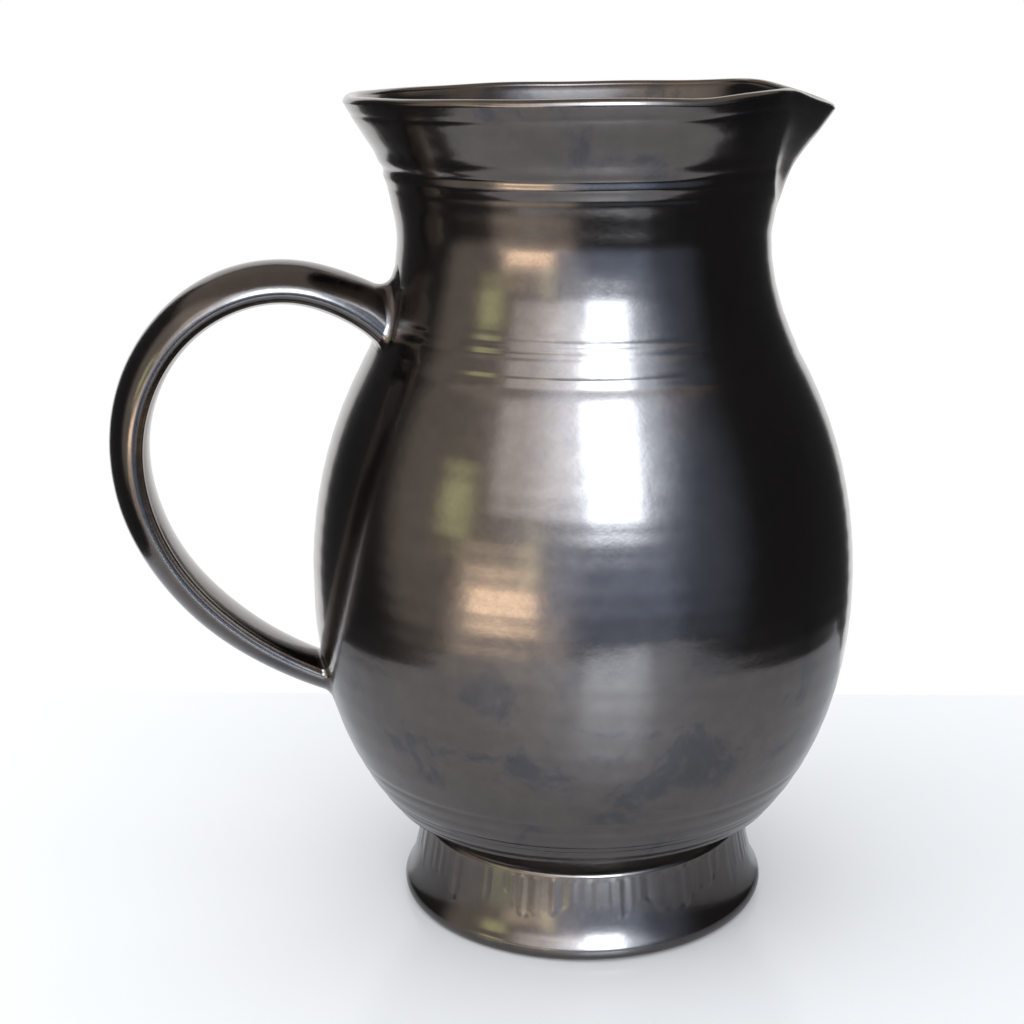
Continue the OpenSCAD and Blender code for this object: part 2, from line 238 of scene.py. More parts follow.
foot_angles = np.linspace(0, 2 * np.pi, 720, endpoint=False)
edge_turn = np.linspace(0, edge_sweep, 14)
edge_arc = np.stack([
    foot_radius - table_edge + table_edge * np.sin(edge_turn), table_edge - table_edge * np.cos(edge_turn)
], -1)
foot_profile = np.concatenate([
    np.linspace((hollow_radius - hollow_draft, foot_top), (hollow_radius, bare_height), 8),
    np.linspace((hollow_radius + bare_height, 0), (foot_radius - table_edge, 0), 5),
    edge_arc[1:],
    bezier([
        edge_arc[-1], edge_arc[-1] + (-2.1 * mm, 2.8 * mm), (skirt_radius + 1.4 * mm, 15.5 * mm),
        (skirt_radius, skirt_top)
    ], 52)[1:],
    bezier([
        (skirt_radius, skirt_top), (skirt_radius - 0.1 * mm, skirt_top + 1.3 * mm),
        (cove_radius + 1.6 * mm, skirt_top + 1.5 * mm), (cove_radius, cove_height)
    ], 14)[1:],
    bezier([
        (cove_radius, cove_height), (cove_radius - 0.5 * mm, cove_height + 3 * mm),
        (cove_radius + 0.2 * mm, foot_top), (seat_radius, foot_top)
    ], 14)[1:],
])
foot_r, foot_z = foot_profile.T
on_skirt = (foot_r > skirt_radius - mm) & (foot_z > bare_height)
run_end = streak_end + wander(foot_angles, streak_spread, (9, 14, 23, 31), seed=6)
run_place = (
    smooth_step((foot_z - run_end[:, None]) / (2 * mm)) * smooth_step((skirt_top - foot_z) / mm) * on_skirt
)
runs = wander(foot_angles, streak_depth, (37, 53, 64, 71, 90, 101), seed=4)
foot_round = wander(foot_angles, out_of_round, (2, 3, 5), seed=5)
foot_points = spun(
    foot_r + runs[:, None] * run_place + foot_round[:, None] * on_skirt, foot_z, foot_angles
)
foot_worn = foot_wear * np.exp(-(((foot_z - skirt_top) / mm) ** 2)) * on_skirt
foot_faces = ring_quads(*foot_points.shape[:2])
foot_piece = add_piece(
    "foot_ring", foot_points, foot_faces, "foot", [lustre_glaze("foot_glaze"), bare_stoneware("foot_clay")],
    worn=np.broadcast_to(foot_worn, foot_points.shape[:2]),
)
touches_table = foot_points[..., 2].ravel()[foot_faces].max(1) < bare_face
foot_piece.data.polygons.foreach_set("material_index", touches_table.astype(np.int32))
foot_piece.data.set_sharp_from_angle(angle=math.radians(40))

# Belly
# The thrown vessel: a round wall with a floor, swelling to its widest place and closing to the shoulder.
# Turned lines ring it above the foot, and its upper edge is luted to the neck among the shoulder's lines.
seam_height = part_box("belly")[1].z
belly_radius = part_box("belly")[1].y
belly_height = foot_top + 68 * mm
turn_height = foot_top + mm
turn_radius = 62 * mm
seam_radius = 63.3 * mm
seam_slope = 0.43
wall_thickness = 5 * mm
floor_height = foot_top + 6 * mm
floor_round = 14 * mm
ring_wander = 0.3 * mm
ring_unevenness = 0.35
wiped_spread = 0.12
ripple_height = 0.03 * mm

# Turned rings: height, depth of the cut (or height of a bead, if negative) and half width, in millimetres
base_rings = [(36.2, 0.13, 0.7), (39.7, 0.22, 0.65), (41.6, 0.22, 0.65), (46.5, 0.12, 1.3), (51.0, 0.16, 1.0)]
shoulder_rings = [(174.5, 0.24, 1.8), (176.6, 0.16, 0.75), (182.3, 0.22, 1.0), (185.4, 0.24, 1.0)]

# Outline of the belly as two curves of radius and height that meet upright at the widest place
swell = belly_height - turn_height
shoulder = seam_height - belly_height
belly_outline = np.concatenate([
    bezier([
        (turn_radius, turn_height),
        (turn_radius + 0.875 * (belly_radius - turn_radius), turn_height + 0.335 * swell),
        (belly_radius, belly_height - 0.21 * swell),
        (belly_radius, belly_height),
    ], 120),
    bezier([
        (belly_radius, belly_height),
        (belly_radius, belly_height + 0.58 * shoulder),
        (seam_radius + seam_slope * 0.12 * shoulder, seam_height - 0.12 * shoulder),
        (seam_radius, seam_height),
    ], 120)[1:],
])


def outline_radius(outline, height):
    """Radius of the plain outer wall at a height, read off an outline of radii and heights."""
    return np.interp(height, outline[:, 1], outline[:, 0])


def inside_radius(outline, height, thickness):
    """Radius inside the wall: the outer one less the thickness, measured square to the slope."""
    slope = np.interp(height, outline[:, 1], np.gradient(outline[:, 0], outline[:, 1]))
    return outline_radius(outline, height) - thickness * np.hypot(1, np.minimum(slope, 1.4))


def turned_relief(rings, height, angle):
    """Rings as bell curves of the height. Each one wanders up and down and in depth round the jug.

    The lines at the shoulder were wiped away round the end of the handle.
    """
    relief = np.zeros(np.broadcast_shapes(np.shape(height), np.shape(angle)))
    wiped = np.exp(-(1 + np.cos(angle)) / wiped_spread)
    for ring in rings:
        ring_height, depth, half_width = (size * mm for size in ring)
        seed = round(10 * ring[0])
        line = ring_height + wander(angle, ring_wander, (1, 2, 3), seed)
        strength = 1 + wander(angle, ring_unevenness, (2, 3, 5), seed + 1) - wiped * (ring in shoulder_rings)
        relief -= depth * strength * np.exp(-(((height - line) / half_width) ** 2))
    return relief


def hand_thrown(height, angle):
    """Slow unevenness of a thrown wall: a little out of round, with faint throwing ripples that climb."""
    swing = wander(angle, out_of_round, (2, 3, 4), seed=8)
    ripples = ripple_height * np.sin(height / mm * 0.9 + angle + 2 * np.sin(height / mm * 0.05))
    return swing + ripples


def rising(low, high, step):
    """Heights from low to high, spaced evenly and about one step apart."""
    return np.linspace(low, high, max(2, math.ceil((high - low) / step) + 1))


# Half a section of the belly: out along the underside, up the outside, down the inside and in along the floor
belly_angles = np.linspace(0, 2 * np.pi, 320, endpoint=False)
belly_levels = np.concatenate([
    rising(turn_height, 54 * mm, 0.35 * mm), rising(55.5 * mm, 171 * mm, 1.6 * mm),
    rising(171.4 * mm, seam_height, 0.35 * mm)
])
inner_levels = np.linspace(seam_height, floor_height + floor_round, 52)
inner_wall = inside_radius(belly_outline, inner_levels, wall_thickness)
floor_turn = np.linspace(0, np.pi / 2, 10)[1:]
floor_corner = np.stack([
    inner_wall[-1] - floor_round * (1 - np.cos(floor_turn)),
    floor_height + floor_round * (1 - np.sin(floor_turn)),
], -1)
belly_profile = np.concatenate([
    np.linspace((0, foot_top), (seat_radius, foot_top), 14)[1:],
    bezier([
        (seat_radius, foot_top), (turn_radius - 1.5 * mm, foot_top),
        (turn_radius - 0.3 * mm, turn_height - 0.6 * mm), (turn_radius, turn_height)
    ], 10)[1:-1],
    np.stack([outline_radius(belly_outline, belly_levels), belly_levels], -1),
    np.stack([inner_wall, inner_levels], -1),
    floor_corner,
    np.linspace(floor_corner[-1], (0, floor_height), 14)[1:-1],
])
belly_r, belly_z = belly_profile.T
belly_spin = belly_angles[:, None]
belly_relief = (
    turned_relief(base_rings + shoulder_rings, belly_z, belly_spin) + hand_thrown(belly_z, belly_spin)
)
outer_skin = (belly_z >= turn_height) & (belly_r > outline_radius(belly_outline, belly_z) - 0.1 * mm)
belly_relief = np.where(outer_skin, np.minimum(belly_relief, belly_radius - belly_r), 0)
belly_points = spun(belly_r + belly_relief, belly_z, belly_angles)

# The section is open at the axis, where a fan of triangles closes the underside and another the floor
belly_rows, belly_columns = belly_points.shape[:2]
belly_quads = ring_quads(belly_rows, belly_columns)
belly_quads = belly_quads[belly_quads[:, 0] % belly_columns < belly_columns - 1]
under_rim = belly_columns * np.arange(belly_rows)
floor_rim = under_rim + belly_columns - 1
under_pole = np.full(belly_rows, belly_rows * belly_columns)
belly_faces = [
    *belly_quads.tolist(),
    *np.stack([under_pole, np.roll(under_rim, -1), under_rim], -1).tolist(),
    *np.stack([floor_rim, np.roll(floor_rim, -1), under_pole + 1], -1).tolist(),
]
poles = [(0, 0, foot_top), (0, 0, floor_height)]
belly_piece = add_piece(
    "thrown_belly", np.concatenate([belly_points.reshape(-1, 3), poles]), belly_faces, "belly",
    [lustre_glaze("belly_glaze")]
)
belly_piece.data.set_sharp_from_angle(angle=math.radians(50))

# Neck
# A waisted neck that flares into a collar with a rounded lip, thrown apart and luted onto the belly.
# A ring bead runs round it under the collar. The rim is a little uneven and rises towards the spout.
waist_height = seam_height + 32.5 * mm
waist_radius = 55 * mm
collar_height = seam_height + 50 * mm
collar_radius = 58.3 * mm
collar_slope = 0.25
rim_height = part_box("neck")[1].z
rim_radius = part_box("neck")[1].y
lip_thickness = 3.6 * mm
lip_height = rim_height - lip_thickness / 2
collar_rings = [
    (223.0, 0.1, 0.9), (226.0, -0.3, 1.2), (228.5, 0.32, 1.1), (231.0, -0.15, 1.6), (244.6, 0.13, 0.7)
]
rim_tilt = 1.45 * mm
rim_waves = 0.3 * mm
sag_depth = 0.5 * mm
sag_angle = -64
sag_width = 8
cheek_rise = 0.7 * mm
cheek_angle = 36
cheek_width = 14
tip_dip = 4.5 * mm
dip_half = 28
dip_round = 0.1
lip_wear = 0.3

# Outline of the neck as three curves, upright at the waist, that go on from the belly's outline
waist = waist_height - seam_height
flare = collar_height - waist_height
collar = lip_height - collar_height
neck_outline = np.concatenate([
    bezier([
        (seam_radius, seam_height),
        (seam_radius - seam_slope * 0.11 * waist, seam_height + 0.11 * waist),
        (waist_radius, waist_height - 0.49 * waist),
        (waist_radius, waist_height),
    ], 120),
    bezier([
        (waist_radius, waist_height),
        (waist_radius, waist_height + 0.17 * flare),
        (collar_radius - collar_slope * 0.14 * flare, collar_height - 0.14 * flare),
        (collar_radius, collar_height),
    ], 120)[1:],
    bezier([
        (collar_radius, collar_height),
        (collar_radius + collar_slope * 0.38 * collar, collar_height + 0.38 * collar),
        (collar_radius + 0.55 * (rim_radius - collar_radius), collar_height + 0.52 * collar),
        (rim_radius, lip_height),
    ], 120)[1:],
])

# The notch for the spout lies between two sides and above a root. The beak below overhangs the collar there.
# It is turned a little from straight across from the handle, and its angles are measured from its own middle.
spout_turn = -10
spout_half = 38
spout_root = seam_height + 40 * mm
spout_full = rim_height - 2 * mm
spout_reach = 72 * mm
beak_foot = outline_radius(neck_outline, spout_full)
tip_lean = -7
tip_round = 7
side_round = 0.5 * mm
pinch_depth = 0.7 * mm
pinch_angle = 37
pinch_width = 5
widest_side = 80
narrowest = 0.3
rings_end = 18
rings_fade = 24


def from_tip(angle):
    """Angle from the tip, which leans to one side. Each side is stretched so that its end stays in place."""
    offset = angle - tip_lean
    return offset / (1 - np.sign(offset) * tip_lean / spout_half)


def beak(angle):
    """Reach of the spout past the collar: in plan, two straight sides meet at a rounded tip.

    Each side is a chord that ends on the collar, rounded there by a soft limit at zero.
    """
    eased = np.radians(np.minimum(np.hypot(angle, tip_round) - tip_round, widest_side))
    end = math.radians(math.hypot(spout_half, tip_round) - tip_round)
    x, y = beak_foot * math.cos(end), beak_foot * math.sin(end)
    side = spout_reach * y / (y * np.cos(eased) + (spout_reach - x) * np.sin(eased)) - beak_foot
    ended = -side_round * np.log1p(np.exp(-side / side_round))
    nearest = math.atan2(spout_reach - x, y)
    return np.where(eased < nearest, side, ended)


def rim_rise(angle):
    """Height of the rim over its mean: the sum of a slow tilt, bell curves, a dip at the tip and a few waves.

    The bell curves are a swell at each cheek and a sag beside one of them. The dip has a soft limit at zero.
    """
    short_of_end = 1 - (np.hypot(from_tip(angle), tip_round) - tip_round) / dip_half
    tip = dip_round * np.log1p(np.exp(short_of_end / dip_round))
    cheeks = np.exp(-(((np.abs(angle) - cheek_angle) / cheek_width) ** 2))
    sag = np.exp(-(((angle - sag_angle) / sag_width) ** 2))
    turn = np.radians(angle + spout_turn)
    return (
        rim_tilt * np.cos(turn) + cheek_rise * cheeks - tip_dip * tip - sag_depth * sag
        + wander(turn, rim_waves, (3, 5, 7, 11), seed=12)
    )


# One loop of the wall's section: up the outside, round the lip, and down the inside to the seam
up_levels = np.concatenate([
    rising(seam_height, seam_height + 12 * mm, 0.35 * mm),
    rising(seam_height + 13.5 * mm, spout_root, 1.5 * mm),
    rising(spout_root + 0.7 * mm, collar_height + 6 * mm, 0.45 * mm),
    rising(collar_height + 7 * mm, lip_height - 6 * mm, 0.9 * mm),
    rising(lip_height - 5.6 * mm, lip_height, 0.35 * mm)
])
lip_turn = np.linspace(0, np.pi, 16)[1:-1]
down_levels = np.concatenate([
    rising(spout_root, lip_height, 1.2 * mm)[::-1], rising(seam_height, spout_root - 2 * mm, 2 * mm)[::-1]
])
thinning = (down_levels - seam_height) / (lip_height - seam_height)
down_thickness = wall_thickness + thinning * (lip_thickness - wall_thickness)
loop_r = np.concatenate([
    outline_radius(neck_outline, up_levels), rim_radius - lip_thickness / 2 * (1 - np.cos(lip_turn)),
    inside_radius(neck_outline, down_levels, down_thickness)
])
loop_level = np.concatenate([up_levels, np.full(len(lip_turn), lip_height), down_levels])
loop_lift = np.pad(lip_thickness / 2 * np.sin(lip_turn), (len(up_levels), len(down_levels)))
loop_outside = np.arange(len(loop_level)) < len(up_levels)
neck_angles = np.concatenate([np.arange(-60, 60, 0.5), np.arange(60, 300, 1.25)])
from_spout = ((neck_angles + 180) % 360 - 180)[:, None]
neck_spin = np.radians(from_spout + spout_turn)
overhang = np.clip((loop_level - spout_root) / (spout_full - spout_root), 0, 1)
climb = np.clip((loop_level - spout_root) / (lip_height - spout_root), 0, 1)
spout_wall = beak(from_tip(from_spout) / np.maximum(np.sqrt(climb), narrowest))
pinch = pinch_depth * np.exp(-(((np.abs(from_spout) - pinch_angle) / pinch_width) ** 2)) * climb**8
ring_share = smooth_step((np.abs(from_spout) - rings_end) / rings_fade)
neck_relief = (
    turned_relief(shoulder_rings + collar_rings, loop_level, neck_spin) * ring_share
    + hand_thrown(loop_level, neck_spin)
) * loop_outside
wall_points = spun(
    loop_r + neck_relief + spout_wall * overhang - pinch,
    loop_level + loop_lift + rim_rise(from_spout) * climb,
    np.radians(neck_angles + spout_turn),
)
along = np.roll(wall_points, -1, 0) - np.roll(wall_points, 1, 0)
across = np.gradient(wall_points, axis=1)
wall_normals = np.cross(along, across)
wall_normals /= np.linalg.norm(wall_normals, axis=-1, keepdims=True)
wall_worn = np.broadcast_to(np.where(loop_lift > 0, lip_wear, 0), wall_points.shape[:2])
wall_quads = ring_quads(*wall_points.shape[:2])
loop_count = len(loop_level)

# The quads that belong to the spout lie between its two sides and above its root
quad_row, quad_column = wall_quads[:, 0] // loop_count, wall_quads[:, 0] % loop_count
between_sides = (neck_angles[quad_row] >= -spout_half) & (neck_angles[quad_row] < spout_half)
lowest_level = np.minimum(loop_level, np.roll(loop_level, -1))
in_spout = between_sides & (lowest_level[quad_column] >= spout_root - 1e-9)
first_side = int(np.argmin(np.abs(neck_angles + spout_half)))
last_side = int(np.argmin(np.abs(neck_angles - spout_half)))
root_out = int(np.argmin(np.abs(up_levels - spout_root)))
root_in = len(up_levels) + len(lip_turn) + int(np.argmin(np.abs(down_levels - spout_root)))
cut_loop = np.arange(root_out, root_in + 1)


def part_of_wall(name, node, chosen, facing, material):
    """Piece cut from the wall's grid: the chosen quads, two flat sides and the flat root.

    The cut faces have corners of their own, so that the glazed skin keeps the normals of the whole wall.
    They look out of the spout where facing is 1, and the other way where it is -1, for the neck.
    """
    side_count = len(cut_loop)
    cut_rows = np.arange(first_side, last_side + 1)
    root = wall_points[cut_rows][:, [root_out, root_in]]
    points = np.concatenate([
        wall_points.reshape(-1, 3), wall_points[first_side, cut_loop], wall_points[last_side, cut_loop],
        root.reshape(-1, 3)
    ])
    start = wall_points.shape[0] * loop_count
    step = start + 2 * side_count + 2 * np.arange(len(cut_rows) - 1)
    cut_faces = [
        (start + np.arange(side_count)).tolist(),
        (start + 2 * side_count - 1 - np.arange(side_count)).tolist(),
        *np.stack([step, step + 1, step + 3, step + 2], -1).tolist(),
    ]
    if facing < 0:
        cut_faces = [f[::-1] for f in cut_faces]
    side_turns = np.radians(neck_angles[[first_side, last_side]] + spout_turn)
    side_normals = [
        way * facing * np.array([math.sin(turn), -math.cos(turn), 0])
        for way, turn in zip((1, -1), side_turns)
    ]
    normals = np.concatenate([
        wall_normals.reshape(-1, 3),
        np.repeat(side_normals, side_count, axis=0),
        np.tile((0, 0, -facing), (2 * len(cut_rows), 1)),
    ])
    worn = np.concatenate([wall_worn.ravel(), np.zeros(len(points) - start)])
    faces = wall_quads[chosen].tolist() + cut_faces
    used, corners = np.unique(np.concatenate([np.ravel(f) for f in faces]), return_inverse=True)
    ends = np.cumsum([len(f) for f in faces])[:-1]
    piece = add_piece(name, points[used], np.split(corners, ends), node, [material], worn=worn[used])
    piece.data.normals_split_custom_set_from_vertices(normals[used].tolist())


part_of_wall("thrown_neck", "neck", ~in_spout, facing=-1, material=lustre_glaze("neck_glaze"))

# Spout
# A beak pinched from a slip of clay and let into a notch in the collar, with its joints smoothed away.
# Its two cheeks meet in a ridge that runs down into the neck, and its lip dips at the tip.
part_of_wall("pinched_spout", "spout", in_spout, facing=1, material=lustre_glaze("spout_glaze"))

# Handle
# A strap of clay pulled by hand, thicker at the neck than at the belly, bent into a loop and luted on.
# It is domed outside and flatter inside, and a fine ridge from the pulling runs along both inner edges.
handle_reach = 134.5 * mm
handle_top_radius = 90 * mm
handle_top = seam_height + 20 * mm
handle_far = seam_height - 29.5 * mm
handle_low = seam_height - 112 * mm
root_arc = (50 * mm, 69 * mm)
low_arc = 111 * mm
strap_thickness = (13 * mm, 9.5 * mm)
strap_width = (28 * mm, 20 * mm)
strap_taper = 1.6
strap_oblong = 2.05
strap_dome = 0.28
strap_uneven = 0.12 * mm
uneven_length = 18 * mm
strap_shrink = 0.15 * mm
ridge_height = 0.25 * mm
ridge_angles = (132, 228)
ridge_width = 0.08
ridge_wear = 0.35
root_flare = 2.6 * mm
inner_flare = 0.4
flare_length = 12 * mm
strap_relief = 0.05
past_wall = math.radians(8)
sunk_in_wall = 1.2 * mm
jug_outline = np.concatenate([belly_outline, neck_outline[1:]])
jug_rings = base_rings + shoulder_rings + collar_rings


def root_line(turn):
    """Centre line of the handle near the neck: a quarter ellipse from its top, as distance and height."""
    return np.stack([
        handle_top_radius - root_arc[0] * np.sin(turn), handle_top - root_arc[1] * (1 - np.cos(turn))
    ], -1)


def top_line(turn):
    """Centre line from the handle's top to its furthest place: a quarter ellipse."""
    return np.stack([
        handle_top_radius + (handle_reach - handle_top_radius) * np.sin(turn),
        handle_far + (handle_top - handle_far) * np.cos(turn),
    ], -1)


def low_line(turn):
    """Centre line from the furthest place down to the belly: part of a quarter ellipse."""
    return np.stack([
        handle_reach - low_arc * (1 - np.cos(turn)), handle_far - (handle_far - handle_low) * np.sin(turn)
    ], -1)


def meeting_turn(line):
    """Turn at which a centre line comes to the wall, read off many points of it."""
    turn = np.linspace(0, np.pi / 2, 4001)
    distance, height = line(turn).T
    return turn[np.argmax(distance <= outline_radius(jug_outline, height))]


def depth_in_wall(points):
    """How far points lie inside the jug's outer skin, measured from its axis."""
    x, y, z = np.moveaxis(points, -1, 0)
    angle = np.arctan2(y, x)
    skin = outline_radius(jug_outline, z) + turned_relief(jug_rings, z, angle) + hand_thrown(z, angle)
    return skin - np.hypot(x, y)


def trimmed(points):
    """Strap's lines cut where they are sunk in the wall at both ends, and spaced evenly in between."""
    depth = depth_in_wall(points) - sunk_in_wall
    rows, columns = depth.shape
    column = np.arange(columns)
    first = np.argmax(depth < 0, axis=0)
    last = rows - 1 - np.argmax(depth[::-1] < 0, axis=0)
    start = first - depth[first, column] / (depth[first, column] - depth[first - 1, column])
    end = last + depth[last, column] / (depth[last, column] - depth[last + 1, column])
    place = start + (end - start) * np.linspace(0, 1, rows)[:, None]
    whole = np.minimum(place.astype(int), rows - 2)
    part = (place - whole)[..., None]
    return (1 - part) * points[whole, column] + part * points[whole + 1, column]


root_turn, low_turn = meeting_turn(root_line), meeting_turn(low_line)
centre = np.concatenate([
    root_line(np.linspace(root_turn + past_wall, 0, 60)), top_line(np.linspace(0, np.pi / 2, 70))[1:],
    low_line(np.linspace(0, low_turn + past_wall, 100))[1:]
])
heading = np.gradient(centre, axis=0)
heading /= np.linalg.norm(heading, axis=1, keepdims=True)
length = np.concatenate([[0], np.cumsum(np.linalg.norm(np.diff(centre, axis=0), axis=1))])

# Sections are rounded oblongs square to the centre line. They taper as a power of the share of its length.
around = np.linspace(0, 2 * np.pi, 144, endpoint=False)
outward, sideways = (np.sign(f) * np.abs(f) ** (2 / strap_oblong) for f in (np.cos(around), np.sin(around)))
pulled = sum(np.exp(-(((around - np.radians(edge)) / ridge_width) ** 2)) for edge in ridge_angles)
unevenness = wander(length / uneven_length, strap_uneven, (1, 2, 3), seed=31)
neck_end = np.linalg.norm(np.diff(root_line(np.array([root_turn + past_wall, root_turn])), axis=0))
end_flare = root_flare * np.exp(-(((length - neck_end) / flare_length) ** 2))
strap_grow = (
    ridge_height * pulled + (unevenness - strap_shrink)[:, None]
    + end_flare[:, None] * np.where(outward > 0, outward, inner_flare * outward)
)
taper = (length / length[-1])[:, None] ** strap_taper
half_thickness, half_width = (
    (size[0] + (size[1] - size[0]) * taper) / 2 + strap_grow for size in (strap_thickness, strap_width)
)
handle_points = trimmed(np.stack([
    heading[:, 1:] * half_thickness * outward - centre[:, :1],
    half_width * sideways * (1 - strap_dome * outward),
    heading[:, :1] * half_thickness * outward + centre[:, 1:],
], -1))
handle_rows, handle_columns = handle_points.shape[:2]
handle_faces = [
    *ring_quads(handle_rows, handle_columns, closed=False)[:, ::-1].tolist(),
    np.arange(handle_columns)[::-1].tolist(),
    ((handle_rows - 1) * handle_columns + np.arange(handle_columns)).tolist(),
]
handle_piece = add_piece(
    "strap_handle", handle_points, handle_faces, "handle", [lustre_glaze("handle_glaze", strap_relief)],
    worn=np.broadcast_to(ridge_wear * pulled, handle_points.shape[:2]),
)
handle_piece.data.set_sharp_from_angle(angle=math.radians(50))

# Lutes
# Where each end of the strap meets the wall, soft clay was pressed round it and wiped into a hollow fillet.
# The one on the neck sweeps up the wall and ends in a low rim. The one on the belly is a small, tight roll.
lute_sink = 0.06 * mm
lute_rim = 0.15 * mm
rim_share = 0.3
lute_uneven = 0.12
longest_slide = 25 * mm


def slide_to_wall(points, way, sunk):
    """Points moved along a direction until they lie sunk in the wall, found by halving the distance."""
    low, high = np.full((2, len(points), 1), [[[-longest_slide]], [[longest_slide]]])
    for _ in range(40):
        middle = (low + high) / 2
        outside_wall = depth_in_wall(points + middle * way)[:, None] < sunk
        low, high = np.where(outside_wall, middle, low), np.where(outside_wall, high, middle)
    return points + high * way


def add_lute(name, node, lines, outer, side, inner):
    """Fillet round a strap's end, whose lines are given from inside the wall outwards.

    It spreads by three amounts: on the strap's outer face, at its two sides and on its inner face.
    A hollow curve leads from the wall, by way of the corner, to the strap, and begins with a low rim.
    The fillet is closed behind the corner.
    """
    run = np.concatenate([
        np.zeros((1, lines.shape[1])), np.linalg.norm(np.diff(lines, axis=0), axis=-1).cumsum(0)
    ])
    depth = depth_in_wall(lines[:40])

    def at(distance):
        """Place on each line at its own distance along it, read off between its points."""
        return np.array([
            [np.interp(d, r, line[:, axis]) for axis in range(3)]
            for d, r, line in zip(distance, run.T, lines.swapaxes(0, 1))
        ])

    emerging = np.array([np.interp(0, -d, r) for d, r in zip(depth.T, run[:40].T)])
    towards = np.cos(around)
    reach = side + np.where(towards > 0, outer - side, inner - side) * towards**2
    reach = reach * (1 + wander(around, lute_uneven, (2, 3, 5), seed=len(name)))
    corner = at(emerging)
    strap_edge = at(emerging + reach)
    into_wall = (corner - strap_edge).mean(0)
    into_wall /= np.linalg.norm(into_wall)
    upright = np.cross(into_wall, (0, 1, 0))
    if (corner[0] - corner.mean(0)) @ upright < 0:
        upright = -upright
    grown = corner + reach[:, None] * (outward[:, None] * upright + sideways[:, None] * np.array([0, 1, 0]))
    wall_edge = slide_to_wall(grown, into_wall, lute_sink)
    inwards = strap_edge.mean(0) - strap_edge
    strap_edge = strap_edge + lute_sink * inwards / np.linalg.norm(inwards, axis=1, keepdims=True)
    t = np.linspace(0, 1, 28)[:, None, None]
    hollow = (1 - t) ** 2 * wall_edge + 2 * t * (1 - t) * corner + t**2 * strap_edge
    hollow = hollow - lute_rim * np.sin(np.pi * np.minimum(t / rim_share, 1)) * into_wall
    behind = corner + sunk_in_wall / 2 * into_wall
    points = np.concatenate([hollow, behind[None]])
    faces = ring_quads(*points.shape[:2])
    if upright @ np.cross((0, 1, 0), into_wall) > 0:
        faces = faces[:, ::-1]
    add_piece(name, points, faces, node, [lustre_glaze(name + "_glaze", strap_relief)])


add_lute("neck_lute", "upper_handle_lute", handle_points, outer=8 * mm, side=3 * mm, inner=2 * mm)
add_lute("belly_lute", "lower_handle_lute", handle_points[::-1], outer=3 * mm, side=2.5 * mm, inner=2 * mm)

# Camera
# The viewpoint is a little above the rim and close by, half a metre from the jug's axis.
# The jug is turned so that its handle comes towards the viewer and its spout goes away.
view_turn = 11.5
view_distance = 0.5199
view_height = 0.2674
view_pitch = 15.54
view_roll = -0.171
focal_pixels = 1747
picture_pixels = 1024
axis_pixel = 583.5

camera_data = bpy.data.cameras.new("viewpoint")
camera_data.lens = camera_data.sensor_width * focal_pixels / picture_pixels
camera_data.shift_x = 0.5 - axis_pixel / picture_pixels
camera = bpy.data.objects.new("viewpoint", camera_data)
bpy.context.scene.collection.objects.link(camera)
camera.matrix_world = (
    Matrix.Rotation(math.radians(-view_turn), 4, "Z")
    @ Matrix.Translation((0, -view_distance, view_height))
    @ Matrix.Rotation(math.radians(90 - view_pitch), 4, "X")
    @ Matrix.Rotation(math.radians(-view_roll), 4, "Z")
)
bpy.context.scene.camera = camera

# Floor
# A plain pale table top that ends at a white ground behind the jug.
# To a reflection, the table also ends in front and at both sides, where the room shows past its edges, and
# the table itself takes a darker colour there, as painted shade.
floor_colour = (0.92, 0.93, 0.94, 1)
# Painted shade: reflections see the table in this darker colour, standing in for the shade round the jug
floor_painted_shade = (0.62, 0.64, 0.68, 1)
floor_half = 3.0
table_back = 0.159
table_front = 0.35
table_side = 0.267
front_fade = 0.08
table_gloss = 0.25
mirrored_gloss = 0.6
ground_spread = 0.65
ground_lean = 0.061

floor_mesh = bpy.data.meshes.new("table_top")
floor_mesh.from_pydata(
    [(x * floor_half, y * floor_half, 0) for x, y in ((-1, -1), (1, -1), (1, 1), (-1, 1))], [], [(0, 1, 2, 3)]
)
floor = bpy.data.objects.new("table_top", floor_mesh)
bpy.context.scene.collection.objects.link(floor)
floor_material = bpy.data.materials.new("pale_table")
floor_material.use_nodes = True
floor_tree = floor_material.node_tree
floor_mesh.materials.append(floor_material)
table = floor_tree.nodes["Principled BSDF"]
rays = add_node(floor_tree, "ShaderNodeLightPath").outputs
# The table's colour: pale to the camera and to light, and the darker painted shade to reflections
table_colour = add_node(
    floor_tree, "ShaderNodeMix", {"data_type": "RGBA"}, _0=rays["Is Glossy Ray"], _6=floor_colour,
    _7=floor_painted_shade
).outputs[2]
table_shine = math_node(floor_tree, "MULTIPLY_ADD", rays["Is Glossy Ray"], mirrored_gloss, table_gloss)
floor_tree.links.new(table_colour, table.inputs["Base Color"])
floor_tree.links.new(table_shine, table.inputs["Specular IOR Level"])
table.inputs["Roughness"].default_value = 0.18
floor_place = add_node(floor_tree, "ShaderNodeTexCoord").outputs["Object"]
turn_sin, turn_cos = math.sin(math.radians(view_turn)), math.cos(math.radians(view_turn))
back, right = (
    add_node(
        floor_tree, "ShaderNodeVectorMath", {"operation": "DOT_PRODUCT"}, _0=floor_place, _1=way
    ).outputs["Value"]
    for way in ((turn_sin, turn_cos, 0), (turn_cos, -turn_sin, 0))
)
aside = math_node(floor_tree, "ABSOLUTE", right)
past_back = ramp_node(floor_tree, back, table_back, table_back + mm)
past_front = ramp_node(floor_tree, back, -table_front, -table_front - front_fade)
past_side = ramp_node(floor_tree, aside, table_side, table_side + 10 * mm)
past_end = math_node(floor_tree, "MAXIMUM", past_back, past_front)
off_table = math_node(floor_tree, "MAXIMUM", past_end, past_side)
to_room = math_node(floor_tree, "MULTIPLY", off_table, rays["Is Glossy Ray"])
ground_edge = math_node(floor_tree, "MULTIPLY", back, ground_spread)
